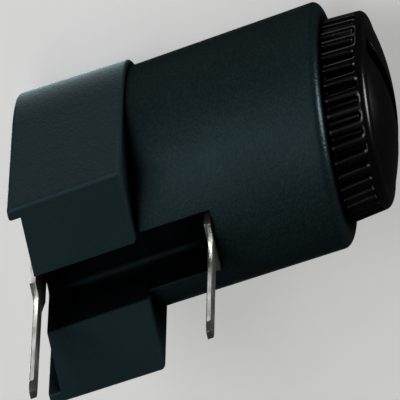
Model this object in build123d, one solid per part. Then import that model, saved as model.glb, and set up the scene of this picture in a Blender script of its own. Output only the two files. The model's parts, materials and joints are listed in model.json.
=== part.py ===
from build123d import *
import math
import os

# Cartridge fuse holder for a 5 x 20 mm fuse, lying flat on a printed circuit board.
# Frame: millimetres, +X along the barrel towards the cap, +Z up, away from the board.
# The origin is where the front solder pin's centreline crosses the seating plane (z = 0).

# ---- fits and allowances ----
running = 0.05             # radial running clearance
touch_gap = 0.02           # between faces that rest on each other
moulded_gap = 0.03         # round a piece that another is moulded or pressed onto
overcut = 1.0              # how far a cutting shape runs past the face it opens
lap = 0.1                  # how far one cutting shape runs into the next
match = 0.001              # how closely an edge's place has to agree for it to be picked

# ---- outside of the housing ----
axis_height = 8.0          # barrel axis above the seating plane
pin_pitch = 17.78          # front pin to rear pin, seven tenth-inch steps
front_rim = 12.85          # barrel's front face
barrel_length = 19.9
barrel_radius = 7.8        # at the front rim
barrel_rear_radius = 7.6   # where the barrel meets the rear box
rim_round = 1.0            # rounding of the barrel's front edge
box_half_width = 8.15      # at the step
box_rear_half_width = 8.0
box_top = 8.0              # arch height above the axis, at the step
box_rear_top = 8.3
shell_wall = 0.9           # thickness of the rim round the rear recess
rear_recess = 1.3
end_round = 0.4            # rounding of the box's two ends
foot_round = 0.3           # rounding of the foot's long edges
lip_round = 0.12           # easing of the slot's mouth, the recess and the bore's mouth
slot_width = 4.5           # channel along the underside
slot_ceiling = 3.55        # above the seating plane
slot_front = 0.36
slot_corner_round = 0.4

# ---- inside of the housing ----
front_bore_rear = 0.4      # where the carrier's bore steps down to the contact ring's
neck_bore_rear = 8.45      # where the cap skirt's bore steps down to the carrier's
keyway_rear = 2.2
keyway_gap = 0.1           # clearance of a carrier key on each side and at its top
track_gap = 0.15           # clearance of a bayonet lug in its track
track_spare_angle = 1.0
web_setback = 0.5          # from the fuse's rear end to the web that guides the plunger
web_thickness = 0.8

# ---- fuse ----
fuse_length = 20.0
fuse_front = 8.0           # front end of the fuse when the cap is home
fuse_cap_radius = 2.6
fuse_cap_length = 5.2
fuse_cap_wall = 0.2
fuse_cap_bevel = 0.25
glass_radius = 2.38
glass_wall = 0.5
wire_radius = 0.12
solder_radius = 0.9
solder_height = 0.8
wire_seat = 0.5            # how far the wire's end stops short of the cap's inner face

# ---- fuse carrier ----
contact_ring_radius = 3.85
contact_ring_half = 0.9    # half the axial length of the contact ring
sleeve_wall = 0.3
sleeve_tail = 2.0          # length of the sleeve behind the contact ring
contact_base = 0.4         # thickness of the contact's closed front end
nose_radius = 3.7
nose_rear = -6.0
nose_taper_length = 0.8
nose_taper_depth = 0.5
carrier_radius = 4.4
carrier_neck_radius = 3.0
carrier_front = 8.65       # front end of the carrier's full-width part
carrier_taper_length = 1.2
carrier_taper_depth = 0.5
collar_rear = 9.75         # collar that the cap's retainer holds
collar_front = 10.65
collar_gap = 0.2           # radial gap between the collar and the cap's cavity
key_rear = 2.6
key_front = 7.4
key_width = 1.6
key_radius = 5.15
key_root = 0.4             # how far a key is rooted above the carrier's neck radius

# ---- cap ----
cap_gap = 0.1              # gap between the cap head and the rim
cap_skirt_radius = 5.4
cap_cavity_radius = 4.6
cap_cavity_front = 15.2
cap_base_radius = 6.44
cap_base_bevel = 0.15
cap_shoulder_radius = 6.3
cap_shoulder = 16.45       # axial place where the head's side starts to round over
cap_shoulder_round = 0.8
cap_tip = 18.75            # crown of the domed end
crown_slope = (0.6, -1)    # direction in which the dome starts from the rounded shoulder
rib_count = 38
groove_depth = 0.45
groove_floor = 0.24        # width of a groove at its floor
groove_mouth = 0.56
coin_slot_width = 1.3
coin_slot_floor = 17.35
lug_count = 2
lug_rear = 9.0
lug_front = 10.6
lug_angle = 24.0
lug_reach = 0.7
lug_root = 0.4             # how far a lug is rooted in the skirt
cap_turn = 60.0            # bayonet turn from entry to lock
retainer_rear = 8.7        # seat of the retainer in the skirt's mouth
retainer_front = 9.3
retainer_seat_depth = 0.45 # how far the skirt's wall is thicker than the retainer's seat
retainer_opening = 2.0
washer_inner_radius = 1.6
washer_thickness = 0.28
washer_gap = 0.25
cap_spring_radius = 3.4
cap_spring_wire = 0.25
cap_spring_turns = 4
gasket_seat = 0.45         # depth of the gasket's seat under the head
gasket_width = 0.65
gasket_gap = 0.04

# ---- terminals ----
plate = 0.6                # thickness of the stamped terminals
pin_width = 1.05
pin_length = 7.95          # below the seating plane
pin_taper = 0.7            # length of the tapered tip
pin_tip_share = 0.55       # width of the tip as a share of the pin's
pin_edge_round = 0.12
shoulder_half = 1.9
rear_shank_half = 1.33     # the rear terminal's +Y side has a sloping shoulder instead of a square one
rear_shoulder_rise = 1.7
fork_width = 1.3
fork_opening = 60.0        # gap at the top of the front terminal's ring
shank_lap = 0.05
rear_tab_radius = 2.4

# ---- rear contact ----
plunger_radius = 2.5
plunger_flange_radius = 3.2
plunger_wall = 0.4
plunger_disc = 0.5
plunger_length = 2.3
plunger_bevel = 0.3
end_plate_radius = 4.1
end_plate_thickness = 1.5
end_plate_round = 0.25
rivet_radius = 0.75
rivet_head_radius = 1.35
rivet_head = 0.4
rivet_head_bevel = 0.2
rivet_dome = 0.5
rear_spring_radius = 1.6
rear_spring_wire = 0.16
rear_spring_turns = 4

# ---- places that follow from the driving dimensions ----
seat = -axis_height                    # the seating plane, seen from the barrel axis
step = front_rim - barrel_length       # where barrel and box meet
rear_face = plate / 2 - pin_pitch      # the rear terminal stands flat against it
terminal_rear = rear_face - plate
box_rear = rear_face - rear_recess     # rear end of the box's side walls
fuse_rear = fuse_front - fuse_length
bore_radius = contact_ring_radius + 2 * running
front_bore_radius = carrier_radius + 2 * running
neck_bore_radius = cap_skirt_radius + 2 * running
track_radius = cap_skirt_radius + lug_reach + track_gap
sleeve_inner = fuse_cap_radius + running
sleeve_outer = sleeve_inner + sleeve_wall
sleeve_rear = -contact_ring_half - sleeve_tail
contact_front = fuse_front + touch_gap + contact_base
ring_inner = contact_ring_radius + running
plunger_rear = fuse_rear - plunger_length
web_front = fuse_rear - web_setback
web_rear = web_front - web_thickness
end_plate_front = rear_face + end_plate_thickness
head_rear = front_rim + cap_gap
gasket_radius = cap_skirt_radius + gasket_width
retainer_bore = cap_skirt_radius - retainer_seat_depth


# ---- helpers: everything round is made about the X axis, then lifted to the barrel axis ----
def turned(*profile):
    """Solid of revolution about X from (x, radius) points."""
    outline = make_face(Polyline(*profile, close=True))
    return revolve(outline, Axis.X)


def tube(x_rear, x_front, inner, outer):
    return turned((x_rear, inner), (x_front, inner), (x_front, outer), (x_rear, outer))


def rod(x_rear, x_front, radius):
    return turned((x_rear, 0), (x_front, 0), (x_front, radius), (x_rear, radius))


def block(x_rear, x_front, y_low, y_high, z_low, z_high):
    size = (x_front - x_rear, y_high - y_low, z_high - z_low)
    middle = Pos((x_rear + x_front) / 2, (y_low + y_high) / 2, (z_low + z_high) / 2)
    return middle * Box(*size)


def sector(x_rear, x_front, inner, outer, start, end):
    """Part of a tube between two angles in degrees, counted from +Y towards +Z."""
    face = make_face(
        Polyline((x_rear, inner), (x_front, inner), (x_front, outer), (x_rear, outer), close=True)
    )
    return Rot(start, 0, 0) * revolve(face, Axis.X, end - start)


def arch(x, half_width, top, bottom):
    """Box section across X: flat sides and bottom, and a half-round top."""
    spring_line = top - half_width
    sides = Polyline(
        (half_width, spring_line), (half_width, bottom), (-half_width, bottom), (-half_width, spring_line)
    )
    crown = CenterArc((0, spring_line), half_width, 0, 180)
    return Plane.YZ.offset(x) * make_face(sides + crown)


def coil(x_start, length, radius, wire, turns):
    """Compression spring along X with its ends in the planes x_start and x_start + length."""
    pitch = (length - 2 * wire) / turns
    path = Helix(pitch, length - 2 * wire, radius, center=(0, 0, wire))
    profile = Plane(origin=path @ 0, z_dir=path % 0) * Circle(wire)
    spring = sweep(profile, path=path, is_frenet=True)
    return Pos(x_start, 0, 0) * Rot(0, 90, 0) * spring


def end_edges(solid, axis):
    """Edges of the two faces that lie furthest apart along an axis."""
    faces = solid.faces().sort_by(axis)
    return faces[0].edges() + faces[-1].edges()


# ---- housing: barrel and box in one moulding ----
def make_box():
    """Arched box that tapers towards the rear, with a flat underside."""
    low = seat - overcut
    box = loft([
        arch(box_rear, box_rear_half_width, box_rear_top, low),
        arch(step, box_half_width, box_top, low),
    ])
    reach = box_half_width + overcut
    box -= block(box_rear - overcut, step + overcut, -reach, reach, low - overcut, seat)
    underside = box.faces().sort_by(Axis.Z)[0]
    long_edges = underside.edges().sort_by(Axis.Y)
    box = fillet([long_edges[0], long_edges[-1]], foot_round)
    return fillet(end_edges(box, Axis.X), end_round)


def make_shell():
    """Barrel and box with the recess at the rear and the channel along the underside."""
    barrel = turned((step, 0), (front_rim, 0), (front_rim, barrel_radius), (step, barrel_rear_radius))
    rim = barrel.edges().filter_by(GeomType.CIRCLE).sort_by(Axis.X)[-1]
    shell = fillet(rim, rim_round) + make_box()

    recess_half = box_rear_half_width - shell_wall
    recess_top = box_rear_top - shell_wall
    recess = arch(box_rear - overcut, recess_half, recess_top, seat - overcut)
    shell -= extrude(recess, rear_recess + overcut, dir=(1, 0, 0))

    half_slot = slot_width / 2
    channel = block(
        box_rear - overcut, slot_front, -half_slot, half_slot, seat - overcut, slot_ceiling - axis_height
    )
    ceiling_edges = channel.edges().filter_by(Axis.X).sort_by(Axis.Z)[-2:]
    shell -= fillet(ceiling_edges, slot_corner_round)
    return fillet(recess_lip(shell) + slot_lip(shell), lip_round)


def recess_lip(shell):
    """Inner edges of the rim round the rear recess: two straight sides and the half-round top."""
    return [
        edge for edge in shell.edges()
        if abs(edge.center().X - box_rear) < match
        and abs(edge.center().Y) < box_rear_half_width - shell_wall + match
        and edge.center().Z < box_rear_top - shell_wall + match
    ]


def slot_lip(shell):
    """Edges round the open side of the channel, along the foot and under the barrel."""
    low_edges = [edge for edge in shell.edges() if edge.center().Z < seat + overcut]
    return [
        edge for edge in low_edges
        if abs(abs(edge.center().Y) - slot_width / 2) < match or abs(edge.center().X - slot_front) < match
    ]


def bore_lip(shell):
    """Edges of the bore and of the bayonet tracks' entries on the front face."""
    front_edges = [edge for edge in shell.edges() if abs(edge.center().X - front_rim) < match]
    return [
        edge for edge in front_edges if math.hypot((edge @ 0.5).Y, (edge @ 0.5).Z) < track_radius + match
    ]


def make_housing():
    shell = make_shell()

    # through bore, stepped for the fuse, the carrier and the cap's skirt
    shell -= rod(web_front, front_bore_rear + lap, bore_radius)
    shell -= rod(front_bore_rear, neck_bore_rear, front_bore_radius)
    shell -= rod(neck_bore_rear - lap, front_rim + overcut, neck_bore_radius)
    shell -= rod(web_rear - lap, web_front + lap, plunger_radius + running)
    shell -= rod(rear_face - overcut, web_rear, end_plate_radius + moulded_gap)

    # keyways for the carrier
    keyway_half = key_width / 2 + keyway_gap
    for angle in (0, 180):
        keyway = block(keyway_rear, neck_bore_rear, 0, key_radius + keyway_gap, -keyway_half, keyway_half)
        shell -= Rot(angle, 0, 0) * keyway

    # bayonet tracks: straight in from the rim, then round by the locking angle
    half = lug_angle / 2 + track_spare_angle
    track_rear = lug_rear - track_gap
    for index in range(lug_count):
        middle = 90 + 360 / lug_count * index
        start = middle - half
        end = middle + half
        shell -= sector(track_rear, front_rim + overcut, cap_skirt_radius, track_radius, start, end)
        shell -= sector(track_rear, lug_front + lap, cap_skirt_radius, track_radius, start - cap_turn, end)
    shell = chamfer(bore_lip(shell), lip_round)

    # cavity that the front terminal is moulded into
    shell -= front_terminal_blank(moulded_gap)
    return shell


# ---- rear contact: plunger, spring, end plate, rivet ----
def make_rear_contact():
    inside = plunger_radius - plunger_wall
    flange_front = plunger_rear + plunger_wall
    disc_rear = fuse_rear - plunger_disc
    return turned(
        (fuse_rear, 0), (fuse_rear, plunger_radius - plunger_bevel),
        (fuse_rear - plunger_bevel, plunger_radius), (flange_front, plunger_radius),
        (flange_front, plunger_flange_radius), (plunger_rear, plunger_flange_radius),
        (plunger_rear, inside), (disc_rear, inside), (disc_rear, 0),
    )


def make_rear_spring():
    rear = end_plate_front + rivet_head + touch_gap
    front = fuse_rear - plunger_disc - touch_gap
    return coil(rear, front - rear, rear_spring_radius, rear_spring_wire, rear_spring_turns)


def make_rear_end_plate():
    disc = tube(rear_face, end_plate_front, rivet_radius, end_plate_radius)
    front_edges = disc.faces().sort_by(Axis.X)[-1].edges()
    return fillet(front_edges.sort_by(SortBy.RADIUS)[-1], end_plate_round)


def make_rear_rivet():
    """Shank with a flat head inside and a domed head behind the terminal."""
    dome_radius = (rivet_head_radius ** 2 + rivet_dome ** 2) / (2 * rivet_dome)
    top = (terminal_rear - rivet_dome, 0)
    head_front = end_plate_front + rivet_head
    body = Polyline(
        top, (head_front, 0), (head_front, rivet_head_radius - rivet_head_bevel),
        (end_plate_front, rivet_head_radius), (end_plate_front, rivet_radius),
        (terminal_rear, rivet_radius), (terminal_rear, rivet_head_radius),
    )
    dome = RadiusArc((terminal_rear, rivet_head_radius), top, -dome_radius)
    return revolve(make_face(body + dome), Axis.X)


# ---- terminals: stamped from flat strip, standing across the barrel ----
def pin_outline(shoulder_left, shoulder_right, top, rise=0.0):
    """Tail of a terminal: shoulders on the seating plane and a tapered solder pin.
    The +Y shoulder slopes up by rise from the pin to its outer corner."""
    half = pin_width / 2
    tip = seat - pin_length
    tip_half = half * pin_tip_share
    return make_face(Polyline(
        (-shoulder_left, top), (-shoulder_left, seat), (-half, seat), (-half, tip + pin_taper),
        (-tip_half, tip), (tip_half, tip), (half, tip + pin_taper), (half, seat),
        (shoulder_right, seat + rise), (shoulder_right, top), close=True,
    ))


def stamped(sketch, x_rear, grow=0.0):
    return extrude(Plane.YZ.offset(x_rear - grow) * sketch, plate + 2 * grow)


def ease_stamping(terminal):
    """Small rounding on the pin's long edges, as tumbled and plated strip has."""
    long_edges = [
        edge for edge in terminal.edges().filter_by(Axis.Z)
        if edge.center().Z < seat and abs(edge.center().Y) < pin_width
    ]
    return fillet(long_edges, pin_edge_round)


def front_terminal_blank(grow):
    """Front terminal, grown all round by a fit allowance when it is cut from the housing."""
    inner = ring_inner - grow
    outer = ring_inner + fork_width + grow
    half = shoulder_half + grow
    open_half = math.radians(fork_opening / 2)
    reach = outer * 2
    wedge = make_face(Polyline(
        (0, 0), (reach * math.sin(open_half), reach), (-reach * math.sin(open_half), reach), close=True
    ))
    shank_top = -math.sqrt(inner ** 2 - half ** 2) - shank_lap
    ring = Circle(outer) - wedge + pin_outline(half, half, shank_top) - Circle(inner)
    return stamped(ring, -plate / 2, grow)


def make_front_terminal():
    return ease_stamping(front_terminal_blank(0))


def make_rear_terminal():
    tail = pin_outline(shoulder_half, rear_shank_half, -rear_tab_radius / 2, rear_shoulder_rise)
    sketch = Circle(rear_tab_radius) + tail - Circle(rivet_radius)
    return ease_stamping(stamped(sketch, terminal_rear))


# ---- fuse ----
def make_fuse_cap(end, inward):
    """Plated end cap: end is its outer face, inward points from there into the fuse."""
    inside = end + inward * fuse_cap_wall
    mouth = end + inward * fuse_cap_length
    return turned(
        (end, 0), (end, fuse_cap_radius - fuse_cap_bevel), (end + inward * fuse_cap_bevel, fuse_cap_radius),
        (mouth, fuse_cap_radius), (mouth, fuse_cap_radius - fuse_cap_wall),
        (inside, fuse_cap_radius - fuse_cap_wall), (inside, 0),
    )


def make_fuse_cap_front():
    return make_fuse_cap(fuse_front, -1)


def make_fuse_cap_rear():
    return make_fuse_cap(fuse_rear, 1)


def make_fuse_tube():
    end_gap = fuse_cap_wall + touch_gap
    return tube(fuse_rear + end_gap, fuse_front - end_gap, glass_radius - glass_wall, glass_radius)


def make_fuse_wire():
    buried = fuse_cap_wall + wire_seat
    return rod(fuse_rear + buried, fuse_front - buried, wire_radius)


def make_fuse_solder():
    """One bead in each cap, with the wire's end set in it."""
    beads = Part()
    bore = wire_radius + touch_gap
    for end, inward in ((fuse_rear, 1), (fuse_front, -1)):
        base = end + inward * (fuse_cap_wall + touch_gap)
        floor = end + inward * (fuse_cap_wall + wire_seat - touch_gap)
        crown = base + inward * solder_height
        flank = RadiusArc((base, solder_radius), (crown, 2 * wire_radius), -inward * solder_radius)
        rest = Polyline((crown, 2 * wire_radius), (crown, bore), (floor, bore), (floor, 0), (base, 0),
                        (base, solder_radius))
        beads += revolve(make_face(flank + rest), Axis.X)
    return beads


# ---- fuse carrier ----
def make_carrier_contact():
    """Sleeve that grips the fuse's front cap and ends in the ring that the front terminal touches."""
    base_rear = fuse_front + touch_gap
    return turned(
        (sleeve_rear, sleeve_inner), (base_rear, sleeve_inner), (base_rear, 0), (contact_front, 0),
        (contact_front, sleeve_outer), (contact_ring_half, sleeve_outer),
        (contact_ring_half, contact_ring_radius), (-contact_ring_half, contact_ring_radius),
        (-contact_ring_half, sleeve_outer), (sleeve_rear, sleeve_outer),
    )


def make_carrier_nose():
    """Insulating nose over the sleeve's tail, tapered so that it finds the bore."""
    inner = sleeve_inner + 2 * running
    shoulder = sleeve_rear - touch_gap
    front = -contact_ring_half - touch_gap
    return turned(
        (nose_rear, inner), (shoulder, inner), (shoulder, sleeve_outer + touch_gap),
        (front, sleeve_outer + touch_gap), (front, nose_radius), (nose_rear + nose_taper_length, nose_radius),
        (nose_rear, nose_radius - nose_taper_depth),
    )


def make_fuse_carrier():
    rear = contact_ring_half + touch_gap
    cavity = sleeve_outer + touch_gap
    cavity_front = contact_front + touch_gap
    collar = cap_cavity_radius - collar_gap
    body = turned(
        (rear, cavity), (cavity_front, cavity), (cavity_front, 0), (collar_front, 0), (collar_front, collar),
        (collar_rear, collar), (collar_rear, carrier_neck_radius), (carrier_front, carrier_neck_radius),
        (carrier_front, carrier_radius), (rear + carrier_taper_length, carrier_radius),
        (rear, carrier_radius - carrier_taper_depth),
    )
    for angle in (0, 180):
        key = block(
            key_rear, key_front, carrier_neck_radius + key_root, key_radius, -key_width / 2, key_width / 2
        )
        body += Rot(angle, 0, 0) * key
    return body


# ---- cap ----
def cap_body():
    """Head and skirt in one turned body, hollow from the rear, with a domed front."""
    seat_front = head_rear + gasket_seat
    brow = (cap_shoulder + cap_shoulder_round, cap_shoulder_radius - cap_shoulder_round)
    rounding = RadiusArc((cap_shoulder, cap_shoulder_radius), brow, cap_shoulder_round)
    crown = Spline(brow, (cap_tip, 0), tangents=(crown_slope, (0, -1)))
    outline = Polyline(
        (cap_tip, 0), (cap_cavity_front, 0), (cap_cavity_front, cap_cavity_radius),
        (retainer_front, cap_cavity_radius), (retainer_front, retainer_bore), (retainer_rear, retainer_bore),
        (retainer_rear, cap_skirt_radius), (seat_front, cap_skirt_radius), (seat_front, gasket_radius),
        (head_rear, gasket_radius), (head_rear, cap_base_radius - cap_base_bevel),
        (head_rear + cap_base_bevel, cap_base_radius), (cap_shoulder, cap_shoulder_radius),
    )
    return revolve(make_face(outline + rounding + crown), Axis.X)


def grip_groove():
    """Cutting shape for one groove: it runs out through the rounded shoulder."""
    floor = cap_base_radius - groove_depth
    mouth = cap_base_radius + overcut
    flare = (groove_mouth - groove_floor) / 2 / groove_depth * (mouth - floor)
    trough = make_face(Polyline(
        (floor, -groove_floor / 2), (mouth, -groove_floor / 2 - flare),
        (mouth, groove_floor / 2 + flare), (floor, groove_floor / 2), close=True,
    ))
    return extrude(Plane.YZ.offset(head_rear - overcut) * trough, cap_tip - head_rear + 2 * overcut)


def make_cap():
    body = cap_body()
    groove = grip_groove()
    body -= [Rot(360 / rib_count * index, 0, 0) * groove for index in range(rib_count)]

    # slot for a coin or a screwdriver
    half_slot = coin_slot_width / 2
    body -= block(coin_slot_floor, cap_tip + overcut, -barrel_radius, barrel_radius, -half_slot, half_slot)

    for index in range(lug_count):
        middle = 90 + 360 / lug_count * index
        start = middle - lug_angle / 2
        body += sector(
            lug_rear, lug_front, cap_skirt_radius - lug_root, cap_skirt_radius + lug_reach,
            start, start + lug_angle,
        )
    return body


def make_cap_retainer():
    """Open ring pressed into the skirt behind the carrier's collar."""
    ring = tube(
        retainer_rear + moulded_gap, retainer_front - touch_gap, carrier_neck_radius + 2 * running,
        retainer_bore - moulded_gap,
    )
    half = retainer_opening / 2
    return ring - block(retainer_rear, retainer_front, -half, half, 0, barrel_radius)


def make_cap_washer():
    rear = collar_front + touch_gap
    return tube(rear, rear + washer_thickness, washer_inner_radius, cap_cavity_radius - washer_gap)


def make_cap_spring():
    rear = collar_front + washer_thickness + 2 * touch_gap
    length = cap_cavity_front - touch_gap - rear
    return coil(rear, length, cap_spring_radius, cap_spring_wire, cap_spring_turns)


def make_cap_gasket():
    front = head_rear + gasket_seat - touch_gap
    return tube(front_rim + touch_gap, front, cap_skirt_radius + gasket_gap, gasket_radius - gasket_gap)


# ---- write one file per piece ----
makers = {
    "housing": make_housing,
    "rear_end_plate": make_rear_end_plate,
    "rear_terminal": make_rear_terminal,
    "rear_rivet": make_rear_rivet,
    "rear_spring": make_rear_spring,
    "rear_contact": make_rear_contact,
    "front_terminal": make_front_terminal,
    "fuse_carrier": make_fuse_carrier,
    "carrier_nose": make_carrier_nose,
    "carrier_contact": make_carrier_contact,
    "fuse_tube": make_fuse_tube,
    "fuse_cap_front": make_fuse_cap_front,
    "fuse_cap_rear": make_fuse_cap_rear,
    "fuse_wire": make_fuse_wire,
    "fuse_solder": make_fuse_solder,
    "cap": make_cap,
    "cap_retainer": make_cap_retainer,
    "cap_washer": make_cap_washer,
    "cap_spring": make_cap_spring,
    "cap_gasket": make_cap_gasket,
}

os.makedirs("parts", exist_ok=True)
for name, maker in makers.items():
    piece = Pos(0, 0, axis_height) * maker()
    piece.label = name
    export_step(piece, f"parts/{name}.step")
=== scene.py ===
import json
import math

import bpy
import bmesh
from mathutils import Matrix, Vector


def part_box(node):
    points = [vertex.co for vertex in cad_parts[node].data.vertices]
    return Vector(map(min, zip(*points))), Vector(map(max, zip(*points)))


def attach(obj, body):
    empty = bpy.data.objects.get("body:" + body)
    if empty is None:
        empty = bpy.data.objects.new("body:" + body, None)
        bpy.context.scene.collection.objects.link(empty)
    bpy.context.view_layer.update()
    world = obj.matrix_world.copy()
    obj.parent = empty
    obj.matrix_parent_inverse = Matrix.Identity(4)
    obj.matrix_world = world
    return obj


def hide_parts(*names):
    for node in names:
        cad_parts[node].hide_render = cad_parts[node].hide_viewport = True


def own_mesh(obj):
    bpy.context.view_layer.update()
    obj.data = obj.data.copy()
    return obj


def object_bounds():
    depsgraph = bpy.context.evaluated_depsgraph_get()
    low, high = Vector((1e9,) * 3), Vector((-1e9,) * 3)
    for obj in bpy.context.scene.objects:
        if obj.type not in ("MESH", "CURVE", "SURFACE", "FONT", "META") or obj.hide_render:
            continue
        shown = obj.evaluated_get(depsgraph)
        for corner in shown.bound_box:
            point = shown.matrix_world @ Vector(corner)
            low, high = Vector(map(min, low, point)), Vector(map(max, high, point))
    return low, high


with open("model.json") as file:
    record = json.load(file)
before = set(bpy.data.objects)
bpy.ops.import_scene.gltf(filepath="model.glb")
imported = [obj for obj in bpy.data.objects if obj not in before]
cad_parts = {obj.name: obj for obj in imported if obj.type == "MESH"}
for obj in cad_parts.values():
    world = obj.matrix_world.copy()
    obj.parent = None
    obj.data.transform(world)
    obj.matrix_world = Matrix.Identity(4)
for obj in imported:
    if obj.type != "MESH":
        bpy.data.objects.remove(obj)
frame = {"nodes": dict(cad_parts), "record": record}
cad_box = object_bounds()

# Looks of a cartridge fuse holder. Blender's unit is the metre; sizes below are millimetres times mm.
# +X runs along the barrel to the cap and +Z is up, away from the circuit board. The seating plane is
# z = 0.

mm = 0.001
tau = 2 * math.pi

nodes = frame["nodes"]
object_low, object_high = cad_box
cap_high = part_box("cap")[1]
housing_low, housing_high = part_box("housing")
tube_low, tube_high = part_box("fuse_tube")
axis_z = (tube_low.z + tube_high.z) / 2
front_rim = Vector((housing_high.x, 0, axis_z))
box_front = front_rim.x - 19.9 * mm     # where the foot's box ends and the round barrel begins
crisp_angle = 40                        # degrees; sharper edges of new meshes stay crisp


# ---- material helpers ----
def shader(tree, kind, inputs=None, **settings):
    """One shader node; an input given as a socket is linked, any other value is set."""
    made = tree.nodes.new("ShaderNode" + kind)
    for name, value in settings.items():
        setattr(made, name, value)
    for name, value in (inputs or {}).items():
        socket = made.inputs[name]
        if isinstance(value, bpy.types.NodeSocket):
            tree.links.new(value, socket)
        else:
            socket.default_value = value
    return made


def maths(tree, operation, first, second=0.0):
    return shader(tree, "Math", {0: first, 1: second}, operation=operation).outputs[0]


def span(tree, value, low, high, to_low=0.0, to_high=1.0):
    """Value carried from low..high to to_low..to_high, held at the ends."""
    made = shader(tree, "MapRange", {
        "Value": value, "From Min": low, "From Max": high, "To Min": to_low, "To Max": to_high,
    })
    return made.outputs["Result"]


def grain(tree, size, detail=2.0, stretch=(1, 1, 1), seed=0.0):
    """Noise whose features are about size across, in the piece's own space; stretch lengthens them."""
    place = shader(tree, "TexCoord").outputs["Object"]
    scale = [1 / (size * s) for s in stretch]
    scaled = shader(tree, "Mapping", {"Vector": place, "Scale": scale, "Location": (seed, seed, seed)})
    made = shader(tree, "TexNoise", {"Vector": scaled.outputs[0], "Scale": 1.0, "Detail": detail})
    return made.outputs["Fac"]


mix_factor = 0         # places of the mix node's sockets when it mixes colours
mix_first = 6
mix_second = 7
mix_result = 2


def colour_mix(tree, factor, first, second):
    made = tree.nodes.new("ShaderNodeMix")
    made.data_type = "RGBA"
    for place, value in ((mix_factor, factor), (mix_first, first), (mix_second, second)):
        if isinstance(value, bpy.types.NodeSocket):
            tree.links.new(value, made.inputs[place])
        else:
            made.inputs[place].default_value = value if place == mix_factor else (*value, 1)
    return made.outputs[mix_result]


open_face = 0.995      # cosine between the true normal and the one rounded over the edges
sharp_edge = 0.85


def edge_mask(tree, width):
    """1 within about width of an edge or corner, 0 on open faces."""
    soft = shader(tree, "Bevel", {"Radius": width}, samples=6).outputs[0]
    flat = shader(tree, "NewGeometry").outputs["True Normal"]
    turn = shader(tree, "VectorMath", {0: soft, 1: flat}, operation="DOT_PRODUCT").outputs["Value"]
    return span(tree, turn, open_face, sharp_edge)


def openness(tree, reach, shut, clear):
    """0 deep in slots and bores, 1 in the open, from how much is hidden within reach."""
    seen = shader(tree, "AmbientOcclusion", {"Distance": reach}, samples=8).outputs["AO"]
    return span(tree, seen, shut, clear)


def relief(tree, height, depth):
    return shader(tree, "Bump", {"Height": height, "Distance": depth, "Strength": 1.0}).outputs[0]


def material(name):
    made = bpy.data.materials.new(name)
    made.use_nodes = True
    tree = made.node_tree
    tree.nodes.clear()
    surface = shader(tree, "BsdfPrincipled")
    output = shader(tree, "OutputMaterial")
    tree.links.new(surface.outputs[0], output.inputs["Surface"])
    return made, tree, surface


def feed(tree, surface, **inputs):
    """Links or sets the named inputs of the surface shader; underscores stand for spaces."""
    for name, value in inputs.items():
        socket = surface.inputs[name.replace("_", " ")]
        if isinstance(value, bpy.types.NodeSocket):
            tree.links.new(value, socket)
        elif isinstance(value, tuple):
            socket.default_value = (*value, 1) if len(value) == 3 else value
        else:
            socket.default_value = value


# ---- materials ----
mid_noise = (0.3, 0.7)                  # nearly all of a noise's values lie in here
coarse_size = 3.1                       # a coarser grain, in fine grains across
coarse_relief = 0.6                     # and in their height
edge_wear = 0.22 * mm                   # width of the rubbed band along edges
wear_share = 0.3                        # how far rubbed places turn to the worn colour
matt_spread = 0.04                      # drift of the roughness to either side
full_specular = 0.5                     # specular level in the open
hollow_reach = 4.5 * mm                 # how far around a point hollows are looked for, for the painted shade in them
hollow_range = (0.6, 0.98)              # openness that counts as shut in, and as clear

slot_half = 2.25 * mm                   # the channel along the foot's underside
slot_ceiling = 3.55 * mm
slot_front = 0.36 * mm
wall_side = (slot_half, slot_half + 0.15 * mm)      # where the painted shadow on the slot walls fades out:
wall_top = (slot_ceiling - 0.9 * mm, slot_ceiling - 0.5 * mm)       # sideways, upwards,
wall_end = (slot_front, slot_front + 0.1 * mm)      # and forwards
slot_shadow_keep = 0.12                       # what the slot's walls keep of their brightness under the painted shadow

foot_edge = (box_front - 0.2 * mm, box_front - 0.05 * mm)       # where the foot's finish, with its painted light and dust sheen, ends
foot_plastic_painted_lighter = (0.009, 0.026, 0.031)    # the box's plastic, painted lighter than the barrel, standing in for the stronger light it gets
foot_dust = 0.8
dust_roughness = 0.35
dust_tint = (0.75, 1.0, 1.05)

rim_polish = 1.0 * mm                   # how far back from its face the rim is rubbed smooth
rim_band = (front_rim.x - rim_polish, front_rim.x - rim_polish / 2)
full_polish = 0.75                      # where the plastic is as smooth as it gets


def housing_zones(tree, surface, painted_shade_factor, body, rubbed):
    """Painted shadow that makes the slot walls nearly black, a foot painted lighter than the barrel
    with a dust sheen, and a rim rubbed smooth; gives back the housing's own values for what it is
    given, and where it is polished."""
    place = shader(tree, "SeparateXYZ", {0: shader(tree, "TexCoord").outputs["Object"]})
    along, aside, height = place.outputs
    outside = span(tree, maths(tree, "ABSOLUTE", aside), *wall_side)
    above = span(tree, height, *wall_top)
    ahead = span(tree, along, *wall_end)
    off_walls = maths(tree, "MAXIMUM", ahead, maths(tree, "MAXIMUM", outside, above))
    # painted shadow: the slot's walls are darkened to nearly black
    painted_shade_factor = maths(tree, "MULTIPLY", painted_shade_factor, maths(tree, "MAXIMUM", off_walls, slot_shadow_keep))
    foot = span(tree, along, *foot_edge, 1.0, 0.0)
    # painted light: the foot takes a lighter colour than the barrel
    body = colour_mix(tree, foot, body, foot_plastic_painted_lighter)
    handled = span(tree, along, *rim_band, 0.0, full_polish)
    rubbed = maths(tree, "ADD", rubbed, handled)
    dust = maths(tree, "MULTIPLY", foot, maths(tree, "MULTIPLY", painted_shade_factor, foot_dust))
    feed(tree, surface, Sheen_Weight=dust, Sheen_Roughness=dust_roughness, Sheen_Tint=dust_tint)
    return painted_shade_factor, body, rubbed, handled


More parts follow.
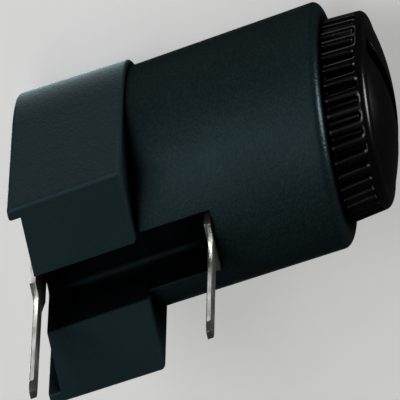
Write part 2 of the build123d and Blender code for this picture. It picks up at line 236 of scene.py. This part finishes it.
def moulded_plastic(name, dark, light, worn, rough_low, rough_high, grain_size, grain_depth, tint, shade,
                    speckle=0.3, zones=None):
    """Black moulding: flow variation, spark-eroded grain, edges rubbed a little lighter, and painted
    shade that darkens hollows. The tint colours its sheen, shade says how far the painted shade
    darkens hollows, and zones adds what differs from place to place."""
    made, tree, surface = material(name)
    flow = grain(tree, 3.2 * mm, detail=3.0, stretch=(2, 1, 1), seed=4.0)
    fine = grain(tree, grain_size, seed=9.0)
    coarse = grain(tree, grain_size * coarse_size, detail=1.0, seed=17.0)
    patchy = span(tree, coarse, 0.35, 0.65, to_low=0.25, to_high=1.0)
    rubbed = maths(tree, "MULTIPLY", edge_mask(tree, edge_wear), patchy)
    polish = rubbed
    # painted shade: hollows found by ambient occlusion darken the colour and the specular
    clear = openness(tree, hollow_reach, *hollow_range)
    painted_shade_factor = span(tree, clear, 0.0, 1.0, to_low=1.0 - shade, to_high=1.0)
    body = colour_mix(tree, span(tree, flow, *mid_noise), dark, light)
    if zones:
        painted_shade_factor, body, rubbed, polish = zones(tree, surface, painted_shade_factor, body, rubbed)
    specks = span(tree, fine, 0.4, 0.72, to_low=0.0, to_high=speckle)
    speckled = colour_mix(tree, specks, body, worn)
    rubbed_colour = colour_mix(tree, maths(tree, "MULTIPLY", rubbed, wear_share), speckled, worn)
    # painted shade and shadow blend the colour towards black
    colour = colour_mix(tree, painted_shade_factor, (0, 0, 0), rubbed_colour)
    relief_height = maths(tree, "ADD", fine, maths(tree, "MULTIPLY", coarse, coarse_relief))
    matt = span(tree, flow, *mid_noise, rough_high + matt_spread, rough_high - matt_spread)
    feed(
        tree, surface, Base_Color=colour, Normal=relief(tree, relief_height, grain_depth),
        Specular_Tint=tint, Specular_IOR_Level=maths(tree, "MULTIPLY", painted_shade_factor, full_specular),
        Roughness=span(tree, polish, 0.0, full_polish, matt, rough_low),
    )
    return made


def plated_metal(name, bright, dull, rough_low, rough_high, streak_size, streak=(1, 1, 1),
                 streak_depth=0.0025 * mm):
    """Plated sheet or wire: drawn streaks along one direction, cloudy tarnish, tiny pits."""
    made, tree, surface = material(name)
    cloud = grain(tree, 1.4 * mm, detail=4.0, seed=3.0)
    lines = grain(tree, streak_size, stretch=streak, seed=6.0)
    pits = grain(tree, 0.09 * mm, detail=1.0, seed=12.0)
    tarnish = span(tree, cloud, 0.45, 0.75)
    streaks = span(tree, lines, *mid_noise, rough_low, rough_high)
    height = maths(tree, "ADD", lines, maths(tree, "MULTIPLY", pits, 0.5))
    feed(
        tree, surface, Base_Color=colour_mix(tree, tarnish, bright, dull), Metallic=1.0,
        Roughness=maths(tree, "ADD", streaks, maths(tree, "MULTIPLY", tarnish, 0.12)),
        Normal=relief(tree, height, streak_depth),
    )
    return made


plastics = {
    "housing_plastic": dict(
        dark=(0.002, 0.009, 0.010), light=(0.004, 0.014, 0.015), worn=(0.026, 0.042, 0.046),
        rough_low=0.32, rough_high=0.64, grain_size=0.20 * mm, grain_depth=0.030 * mm,
        tint=(0.62, 1.0, 1.12), shade=0.97, speckle=0.5, zones=housing_zones,
    ),
    "cap_plastic": dict(
        dark=(0.0010, 0.0012, 0.0012), light=(0.002, 0.002, 0.003), worn=(0.016, 0.016, 0.018),
        rough_low=0.15, rough_high=0.21, grain_size=0.12 * mm, grain_depth=0.003 * mm,
        tint=(1.0, 1.0, 1.06), shade=0.8,
    ),
    "insert_plastic": dict(
        dark=(0.018, 0.019, 0.020), light=(0.028, 0.029, 0.030), worn=(0.06, 0.06, 0.062),
        rough_low=0.40, rough_high=0.52, grain_size=0.14 * mm, grain_depth=0.006 * mm,
        tint=(1.0, 1.0, 1.0), shade=0.3,
    ),
}
metals = {
    "tinned_terminal": dict(
        bright=(0.98, 0.98, 0.94), dull=(0.93, 0.93, 0.84), rough_low=0.28, rough_high=0.34,
        streak_size=0.30 * mm, streak=(1, 1, 6), streak_depth=0.0003 * mm,
    ),
    "nickel_contact": dict(
        bright=(0.72, 0.69, 0.62), dull=(0.50, 0.46, 0.38), rough_low=0.20, rough_high=0.34,
        streak_size=0.12 * mm, streak=(9, 1, 1),
    ),
    "rivet_brass": dict(
        bright=(0.83, 0.62, 0.30), dull=(0.45, 0.30, 0.14), rough_low=0.22, rough_high=0.40,
        streak_size=0.20 * mm,
    ),
    "spring_steel": dict(
        bright=(0.56, 0.56, 0.57), dull=(0.33, 0.31, 0.29), rough_low=0.20, rough_high=0.36,
        streak_size=0.08 * mm, streak=(4, 1, 1),
    ),
    "fuse_cap_metal": dict(
        bright=(0.82, 0.81, 0.78), dull=(0.60, 0.57, 0.50), rough_low=0.12, rough_high=0.24,
        streak_size=0.10 * mm, streak=(1, 4, 4),
    ),
    "fuse_wire_metal": dict(
        bright=(0.74, 0.66, 0.56), dull=(0.50, 0.40, 0.30), rough_low=0.25, rough_high=0.40,
        streak_size=0.05 * mm, streak=(9, 1, 1),
    ),
    "solder_metal": dict(
        bright=(0.66, 0.67, 0.68), dull=(0.42, 0.42, 0.43), rough_low=0.30, rough_high=0.50,
        streak_size=0.15 * mm,
    ),
}


def drawn_glass():
    made, tree, surface = material("fuse_glass")
    waves = grain(tree, 1.1 * mm, detail=1.0, stretch=(6, 1, 1), seed=2.0)
    smudges = grain(tree, 2.2 * mm, detail=3.0, seed=8.0)
    feed(
        tree, surface, Base_Color=(0.93, 0.97, 0.96), Transmission_Weight=1.0, IOR=1.5,
        Roughness=span(tree, smudges, 0.5, 0.8, to_low=0.02, to_high=0.12),
        Normal=relief(tree, waves, 0.01 * mm),
    )
    return made


def dull_rubber():
    made, tree, surface = material("gasket_rubber")
    bloom = grain(tree, 0.9 * mm, detail=4.0, seed=5.0)
    fine = grain(tree, 0.07 * mm, seed=7.0)
    feed(
        tree, surface, Base_Color=colour_mix(tree, bloom, (0.016, 0.016, 0.017), (0.035, 0.035, 0.036)),
        Roughness=span(tree, bloom, *mid_noise, to_low=0.62, to_high=0.8),
        Normal=relief(tree, fine, 0.006 * mm),
    )
    return made


finishes = {name: moulded_plastic(name, **look) for name, look in plastics.items()}
finishes.update({name: plated_metal(name, **look) for name, look in metals.items()})
finishes["fuse_glass"] = drawn_glass()
finishes["gasket_rubber"] = dull_rubber()


# ---- CAD nodes keep their shape and get their finish and softened edges ----
def finish(piece, slot):
    piece.data.materials.clear()
    piece.data.materials.append(finishes[slot])


def soften(piece, width):
    """Rounds a stamped or turned piece's sharp edges with modifiers, which leave its own mesh alone."""
    weld = piece.modifiers.new("weld", "WELD")
    weld.merge_threshold = 0.001 * mm
    flats = piece.modifiers.new("flats", "DECIMATE")
    flats.decimate_type = "DISSOLVE"
    flats.angle_limit = math.radians(0.5)
    bevel = piece.modifiers.new("edges", "BEVEL")
    bevel.width = width
    bevel.segments = 3
    bevel.limit_method = "ANGLE"
    bevel.angle_limit = math.radians(35)
    bevel.miter_outer = "MITER_ARC"
    shading = piece.modifiers.new("shading", "WEIGHTED_NORMAL")
    shading.keep_sharp = False


for part in frame["record"]["subparts"]:
    finish(nodes[part["node"]], part["material_slot"])

edge_widths = {          # in millimetres
    "front_terminal": 0.07, "rear_terminal": 0.07, "rear_rivet": 0.05, "rear_contact": 0.06,
    "rear_end_plate": 0.1, "fuse_carrier": 0.12, "carrier_nose": 0.12, "carrier_contact": 0.08,
    "fuse_cap_front": 0.06, "fuse_cap_rear": 0.06, "cap_retainer": 0.06, "cap_washer": 0.05,
    "cap_gasket": 0.12,
}
for name, width in edge_widths.items():
    soften(nodes[name], width * mm)


# ---- mesh helpers ----
def new_piece(name, points, faces, slot, body):
    """A closed mesh with its finish, which rides on a CAD body."""
    mesh = bpy.data.meshes.new(name)
    mesh.from_pydata(points, [], faces)
    shape = bmesh.new()
    shape.from_mesh(mesh)
    bmesh.ops.recalc_face_normals(shape, faces=shape.faces)
    shape.to_mesh(mesh)
    shape.free()
    piece = bpy.data.objects.new(name, mesh)
    bpy.context.scene.collection.objects.link(piece)
    finish(piece, slot)
    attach(piece, body)
    return piece


def applied(piece):
    """Puts the result of the piece's modifiers into its mesh."""
    bpy.context.view_layer.update()
    graph = bpy.context.evaluated_depsgraph_get()
    mesh = bpy.data.meshes.new_from_object(piece.evaluated_get(graph))
    piece.modifiers.clear()
    piece.data = mesh


def smooth_by_angle(mesh, degrees):
    """Smooth shading that stays crisp over edges sharper than the angle."""
    mesh.shade_smooth()
    shape = bmesh.new()
    shape.from_mesh(mesh)
    for edge in shape.edges:
        edge.smooth = len(edge.link_faces) == 2 and edge.calc_face_angle(0) < math.radians(degrees)
    shape.to_mesh(mesh)
    shape.free()


def arc(centre, size, start, end, steps):
    """Points on an arc, angles in degrees from the x axis towards the radius axis."""
    angles = [math.radians(start + (end - start) * k / steps) for k in range(steps + 1)]
    return [(centre[0] + size * math.cos(a), centre[1] + size * math.sin(a)) for a in angles]


def straight(start, end, steps):
    return [
        tuple(start[i] + (end[i] - start[i]) * k / steps for i in (0, 1)) for k in range(steps + 1)
    ]


def bezier(a, b, c, d, steps):
    curve = []
    for k in range(steps + 1):
        t = k / steps
        weights = ((1 - t) ** 3, 3 * t * (1 - t) ** 2, 3 * t * t * (1 - t), t ** 3)
        curve.append(tuple(sum(w * p[i] for w, p in zip(weights, (a, b, c, d))) for i in (0, 1)))
    return curve


def turned_shell(outline, columns, reach):
    """Closed skin about the barrel axis. The outline runs from one axis point to the other;
    reach(x, radius, angle) gives the radius at each angle."""
    first, *rings, last = outline
    points = [(first[0], 0, axis_z)]
    for x, r in rings:
        for column in range(columns):
            angle = tau * column / columns
            size = reach(x, r, angle)
            points.append((x, size * math.cos(angle), axis_z + size * math.sin(angle)))
    points.append((last[0], 0, axis_z))
    faces = []
    end = len(points) - 1
    for column in range(columns):
        after = (column + 1) % columns
        faces.append((0, 1 + column, 1 + after))
        faces.append((end, end - columns + after, end - columns + column))
        for ring in range(len(rings) - 1):
            low = 1 + ring * columns
            faces.append((low + column, low + columns + column, low + columns + after, low + after))
    return points, faces


# ---- cap: ribbed head, skirt, bayonet lugs and coin slot ----
rib_count = 38
columns_per_rib = 26
groove_depth = 0.45 * mm
groove_floor = 0.20 * mm         # width of a groove at its floor
groove_mouth = 0.62 * mm
rib_crown = 0.05 * mm            # how much a rib's top is rounded
blend_size = 0.16 * mm           # rounding where ribs meet grooves and where they run out
head_radius = cap_high.y
head_rear = front_rim.x + 0.1 * mm
shoulder = head_rear + 3.5 * mm
shoulder_radius = head_radius - 0.14 * mm
shoulder_round = 0.8 * mm
brow_x = shoulder + shoulder_round      # where the dome meets the shoulder's rounding
brow_radius = shoulder_radius - shoulder_round
brow_forward = 0.98 * mm                # pull of the dome's curve there, along the axis
brow_inward = 1.63 * mm                 # and towards it
crown_flat = 1.9 * mm                   # its pull at the crown, outwards
dome_steps = 28
side_run = 0.4 * mm                     # the side's first stretch, which hardly widens
side_widening = 0.02 * mm
heel_round = 0.15 * mm                  # rounding at the head's rear edge
run_out_start = shoulder - 0.35 * mm    # the grooves grow shallow from here
run_out_end = shoulder + 0.2 * mm
seat_radius = 6.05 * mm                 # recess for the gasket
seat_depth = 0.45 * mm
lug_radius = 6.1 * mm
lug_rear = 9.0 * mm
lug_front = 10.6 * mm
lug_chamfer = 0.12 * mm
lug_half_angle = math.radians(12)
skirt_radius = 5.4 * mm
skirt_rear = 8.7 * mm
skirt_taper_end = 8.85 * mm             # its rear edge is tapered up to here
skirt_rear_radius = 5.25 * mm
mouth_radius = 4.95 * mm                # bore at the skirt's mouth
mouth_end = 9.3 * mm
cavity_radius = 4.6 * mm                # room for washer and spring
cavity_end = 15.2 * mm


def soft_least(a, b, size):
    """The smaller of two values, with a rounded change-over."""
    overlap = max(size - abs(a - b), 0) / size
    return min(a, b) - overlap * overlap * size / 4


def cap_reach(x, r, angle):
    """Radius of the cap's skin: grooves in the head, a lug above and one below on the skirt."""
    if x < head_rear:
        from_lug = abs((angle - math.pi / 2) % math.pi)
        from_lug = min(from_lug, math.pi - from_lug)
        return min(r, skirt_radius) if from_lug > lug_half_angle else r
    plain_below = head_radius - 1.5 * groove_depth
    if r < plain_below or x > run_out_end:
        return r
    pitch = head_radius * tau / rib_count
    along = (angle * rib_count / tau + 0.5) % 1
    from_groove = min(along, 1 - along) * pitch
    across_rib = min((pitch / 2 - from_groove) / (pitch / 2 - groove_mouth / 2), 1.5)
    gone = min(max((x - run_out_start) / (run_out_end - run_out_start), 0), 1)
    left = 1 - gone * gone * (3 - 2 * gone)
    floor = head_radius - groove_depth * left + blend_size * (1 - left)
    wall = floor + max(from_groove - groove_floor / 2, 0) * 2 * groove_depth / (groove_mouth - groove_floor)
    return soft_least(r - rib_crown * left * across_rib ** 2, wall, blend_size)


def dome_outline():
    """(x, radius) points from the crown of the dome to the shoulder's rounding."""
    crown = (cap_high.x, 0)
    crown_pull = (cap_high.x, crown_flat)
    brow_pull = (brow_x + brow_forward, brow_radius - brow_inward)
    return bezier(crown, crown_pull, brow_pull, (brow_x, brow_radius), dome_steps)


def cap_outline():
    """(x, radius) points from the crown of the dome, round the outside, to the cavity's end."""
    rounding = arc((shoulder, brow_radius), shoulder_round, 0, 90, steps=14)[1:]
    heel_start = (head_rear + heel_round, head_radius)
    side_turn = (shoulder - side_run, shoulder_radius + side_widening)
    side = straight((shoulder, shoulder_radius), side_turn, steps=10)[1:]
    side += straight(side_turn, heel_start, steps=8)[1:]
    heel = arc((heel_start[0], head_radius - heel_round), heel_round, 90, 180, steps=5)[1:]
    seat_floor = head_rear + seat_depth
    seat = [(head_rear, seat_radius), (seat_floor, seat_radius), (seat_floor, skirt_radius)]
    chamfer_start = lug_radius - lug_chamfer
    lugs = [
        (lug_front, skirt_radius), (lug_front, chamfer_start), (lug_front - lug_chamfer, lug_radius),
        (lug_rear + lug_chamfer, lug_radius), (lug_rear, chamfer_start), (lug_rear, skirt_radius),
    ]
    skirt = [(skirt_taper_end, skirt_radius), (skirt_rear, skirt_rear_radius)]
    cavity = [
        (skirt_rear, mouth_radius), (mouth_end, mouth_radius), (mouth_end, cavity_radius),
        (cavity_end, cavity_radius), (cavity_end, 0),
    ]
    return dome_outline() + rounding + side + heel + seat + lugs + skirt + cavity


coin_slot_half = 0.65 * mm
coin_slot_floor = 17.35 * mm
coin_slot_round = 0.1 * mm    # rounding between its walls and floor
coin_slot_lip = 0.12 * mm
coin_slot_steps = 48
lip_steps = 4
lip_stand = 0.025 * mm        # the lip ends this far above the dome, so that the two cross cleanly


def dome_height(radius):
    """x of the dome at a radius, read off its outline."""
    outline = dome_outline()
    for (x_in, r_in), (x_out, r_out) in zip(outline, outline[1:]):
        if radius <= r_out:
            return x_in + (x_out - x_in) * (radius - r_in) / (r_out - r_in)
    return outline[-1][0]


def coin_slot_side(y):
    """(distance from the axis plane, x) points of one side of the slot, from its floor outwards."""
    surface = dome_height(math.hypot(y, coin_slot_half + coin_slot_lip))
    lip_start = max(surface - coin_slot_lip, coin_slot_floor + coin_slot_round) + lip_stand
    corner = 0.3 * coin_slot_round
    side = [
        (coin_slot_half - coin_slot_round, coin_slot_floor),
        (coin_slot_half - corner, coin_slot_floor + corner),
        (coin_slot_half, coin_slot_floor + coin_slot_round),
    ]
    for step in range(lip_steps + 1):
        turn = math.pi / 2 * step / lip_steps
        outwards = coin_slot_lip * (1 - math.cos(turn))
        side.append((coin_slot_half + outwards, lip_start + coin_slot_lip * math.sin(turn)))
    side.append((coin_slot_half + 1.3 * coin_slot_lip, cap_high.x + 1 * mm))
    return side


def coin_slot_cutter():
    """Straight slot across the dome; its walls roll outwards where they meet the dome's surface."""
    loops = []
    for step in range(coin_slot_steps + 1):
        y = cap_high.y * (2 * step / coin_slot_steps - 1)
        side = coin_slot_side(y)
        upper = [(x, y, axis_z + z) for z, x in side]
        lower = [(x, y, axis_z - z) for z, x in reversed(side)]
        loops.append(upper + lower)
    points = [point for loop in loops for point in loop]
    count = len(loops[0])
    faces = [tuple(range(count)), tuple(range(len(points) - count, len(points)))]
    for step in range(coin_slot_steps):
        for k in range(count):
            after = (k + 1) % count
            low = step * count
            faces.append((low + k, low + after, low + count + after, low + count + k))
    return points, faces


def make_cap():
    points, faces = turned_shell(cap_outline(), rib_count * columns_per_rib, cap_reach)
    cap = new_piece("cap_moulding", points, faces, "cap_plastic", "cap")
    cutter = new_piece("coin_slot_cutter", *coin_slot_cutter(), "cap_plastic", "cap")
    cut = cap.modifiers.new("coin_slot", "BOOLEAN")
    cut.operation = "DIFFERENCE"
    cut.solver = "EXACT"
    cut.object = cutter
    applied(cap)
    bpy.data.objects.remove(cutter)
    smooth_by_angle(cap.data, crisp_angle)
    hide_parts("cap")


make_cap()


# ---- springs: round wire with closed, ground ends ----
wire_sides = 12
steps_per_turn = 40
closed_turns = 0.9               # dead turns at each end
closed_pitch = 2.08              # their pitch, in wire radii
end_grind = 0.6                  # how far the end coils' centres stand in, in wire radii


def spring_mesh(low, high, wire, turns):
    """Compression spring along X that fills the box from low to high."""
    coil = high.y - wire
    start = low.x + end_grind * wire
    length = high.x - low.x - 2 * end_grind * wire
    closed_rise = closed_turns * closed_pitch * wire
    slope = (length - 2 * closed_rise) / (turns - 2 * closed_turns)
    steps = round(turns * steps_per_turn)
    points = []
    for step in range(steps + 1):
        turn = turns * step / steps
        if turn < closed_turns:
            rise = turn * closed_pitch * wire
            pitch = closed_pitch * wire
        elif turn > turns - closed_turns:
            rise = length - (turns - turn) * closed_pitch * wire
            pitch = closed_pitch * wire
        else:
            rise = closed_rise + (turn - closed_turns) * slope
            pitch = slope
        angle = tau * turn
        outward = Vector((0, math.cos(angle), math.sin(angle)))
        along = Vector((pitch, -coil * tau * math.sin(angle), coil * tau * math.cos(angle))).normalized()
        across = along.cross(outward)
        middle = Vector((start + rise, 0, axis_z)) + coil * outward
        for side in range(wire_sides):
            bend = tau * side / wire_sides
            point = middle + wire * (math.cos(bend) * outward + math.sin(bend) * across)
            points.append((min(max(point.x, low.x), high.x), point.y, point.z))
    faces = [tuple(range(wire_sides)), tuple(range(len(points) - wire_sides, len(points)))]
    for step in range(steps):
        for side in range(wire_sides):
            after = (side + 1) % wire_sides
            first = step * wire_sides
            ahead = first + wire_sides
            faces.append((first + side, first + after, ahead + after, ahead + side))
    return points, faces


def make_spring(name, node, body, wire, turns):
    """Puts a coil in a CAD spring's place; gives it back with that spring's box."""
    low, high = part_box(node)
    spring = new_piece(name, *spring_mesh(low, high, wire, turns), "spring_steel", body)
    smooth_by_angle(spring.data, crisp_angle)
    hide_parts(node)
    return spring, low, high


make_spring("cap_coil_spring", "cap_spring", "cap", wire=0.25 * mm, turns=5)

rear_coil, coil_low, coil_high = make_spring(
    "rear_coil_spring", "rear_spring", "housing", wire=0.16 * mm, turns=5,
)
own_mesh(rear_coil)


# ---- camera: below the board side, looking up at the foot and the pins ----
azimuth = math.radians(18.18)
elevation = math.radians(-49.55)
roll = math.radians(-2.325)
stretch_angle = math.radians(51.92)     # its cosine is one over the picture's vertical stretch
lens = 707.35
sensor = 36.0
barrel_part = 7.8                       # the barrel's radius and the housing's half width, in mm
housing_part = 8.144
barrel_radius = (housing_high.y - housing_low.y) / 2 * barrel_part / housing_part
aim_along = -1.821                      # from the rim's centre, in barrel radii
aim_down = 0.263
camera_away = 100                       # in barrel radii

# Right, up and back of the camera, square to each other.
view_back = Vector((
    math.sin(azimuth) * math.cos(elevation), -math.cos(azimuth) * math.cos(elevation), math.sin(elevation)
))
view_level = Vector((math.cos(azimuth), math.sin(azimuth), 0))
view_rise = view_back.cross(view_level)
view_right = math.cos(roll) * view_level - math.sin(roll) * view_rise
view_up = math.sin(roll) * view_level + math.cos(roll) * view_rise


def place_camera():
    """The camera hangs from a sheared mount, which draws the picture 1.6 times taller."""
    target = front_rim + barrel_radius * (Vector((aim_along, 0, 0)) - aim_down * view_rise)
    leaning = math.cos(stretch_angle) * view_up + math.sin(stretch_angle) * view_back
    axes = Matrix((view_right, leaning, view_back)).transposed().to_4x4()
    data = bpy.data.cameras.new("camera")
    data.sensor_width = sensor
    data.lens = lens
    data.clip_start = 10 * mm
    data.clip_end = 10
    camera = bpy.data.objects.new("camera", data)
    mount = bpy.data.objects.new("camera_mount", None)
    for thing in (camera, mount):
        bpy.context.scene.collection.objects.link(thing)
    camera.parent = mount
    stand = target + view_back * barrel_radius * camera_away
    camera.matrix_parent_inverse = Matrix.Translation(stand) @ axes
    bpy.context.scene.camera = camera


place_camera()


# ---- stage: pale floor under the pins, pale table behind the object as seen from below ----
pale = (0.80, 0.80, 0.79)
stage_blotch = 0.97              # brightness of its darker blotches
stage_glow = 0.5
stage_reach = 4.0                # half its width, in metres
table_slope = 0.35               # cosine off its normal; flatter views don't show the table


def stage_material(name, colour, least_slope):
    """Matt, slightly glowing surface that shows only its front, and only to rays steeper than
    least_slope."""
    made = bpy.data.materials.new(name)
    made.use_nodes = True
    tree = made.node_tree
    tree.nodes.clear()
    blotches = grain(tree, 60 * mm)
    darker = tuple(c * stage_blotch for c in colour)
    tint = colour_mix(tree, span(tree, blotches, *mid_noise), colour, darker)
    matt = shader(tree, "BsdfDiffuse", {"Color": tint}).outputs[0]
    glow = shader(tree, "Emission", {"Color": tint, "Strength": stage_glow}).outputs[0]
    pale_face = shader(tree, "AddShader", {0: matt, 1: glow}).outputs[0]
    clear = shader(tree, "BsdfTransparent").outputs[0]
    view = shader(tree, "NewGeometry")
    slope = shader(
        tree, "VectorMath", {0: view.outputs["Incoming"], 1: view.outputs["True Normal"]},
        operation="DOT_PRODUCT",
    ).outputs["Value"]
    steep = maths(tree, "GREATER_THAN", slope, least_slope)
    front = maths(tree, "SUBTRACT", 1.0, view.outputs["Backfacing"])
    seen = maths(tree, "MULTIPLY", steep, front)
    output = shader(tree, "OutputMaterial")
    mix = shader(tree, "MixShader", {0: seen, 1: clear, 2: pale_face})
    tree.links.new(mix.outputs[0], output.inputs["Surface"])
    return made


def stage_plane(name, z, up, least_slope):
    """Wide plane that faces up or down and is seen only by the camera."""
    corners = [(x * stage_reach, y * stage_reach, z) for x, y in ((-1, -1), (1, -1), (1, 1), (-1, 1))]
    mesh = bpy.data.meshes.new(name)
    mesh.from_pydata(corners, [], [(0, 1, 2, 3) if up else (3, 2, 1, 0)])
    plane = bpy.data.objects.new(name, mesh)
    bpy.context.scene.collection.objects.link(plane)
    mesh.materials.append(stage_material(name, pale, least_slope))
    plane.visible_diffuse = False
    plane.visible_glossy = False
    plane.visible_transmission = False
    plane.visible_shadow = False


stage_plane("floor", object_low.z, up=True, least_slope=0.0)
stage_plane("table", object_high.z, up=False, least_slope=table_slope)


# ---- light: soft boxes ----
light_away = 0.6                 # metres from the object's middle


def soft_box(name, direction, size, power):
    middle = (object_low + object_high) / 2
    data = bpy.data.lights.new(name, "AREA")
    data.shape = "SQUARE"
    data.size = size
    data.energy = power
    light = bpy.data.objects.new(name, data)
    bpy.context.scene.collection.objects.link(light)
    light.location = middle + direction.normalized() * light_away
    light.rotation_euler = direction.to_track_quat("Z", "Y").to_euler()


def light_scene():
    """A main light on the left of the picture, dim ones for the lower left and the pins, one on the
    cap's side, and one above that is nearly behind the object as the camera sees it."""
    soft_box("key", view_back - 0.84 * view_right, size=0.30, power=1.30)
    soft_box("low_left", view_back - 0.8 * view_up - 0.8 * view_right, size=0.30, power=0.32)
    soft_box("pin_side", Vector((-0.20, -0.62, 0.76)), size=0.16, power=0.105)
    soft_box("rim_side", Vector((0.95, -0.1, 0.05)), size=0.22, power=1.6)
    soft_box("top_back", Vector((-0.45, 0.55, 0.7)), size=0.26, power=2.6)


light_scene()

world_light = 0.015              # the strength that lights the object
world_seen = 0.80                # and the one the camera sees


def pale_world():
    """Pale to the camera, dim to everything else, so that black plastic stays black."""
    world = bpy.data.worlds.new("world")
    world.use_nodes = True
    tree = world.node_tree
    tree.nodes.clear()
    seen = shader(tree, "LightPath").outputs["Is Camera Ray"]
    strength = span(tree, seen, 0.0, 1.0, world_light, world_seen)
    background = shader(tree, "Background", {"Color": (1, 1, 0.99, 1), "Strength": strength})
    output = shader(tree, "OutputWorld")
    tree.links.new(background.outputs[0], output.inputs["Surface"])
    bpy.context.scene.world = world


pale_world()
bpy.context.scene.view_settings.view_transform = "Standard"
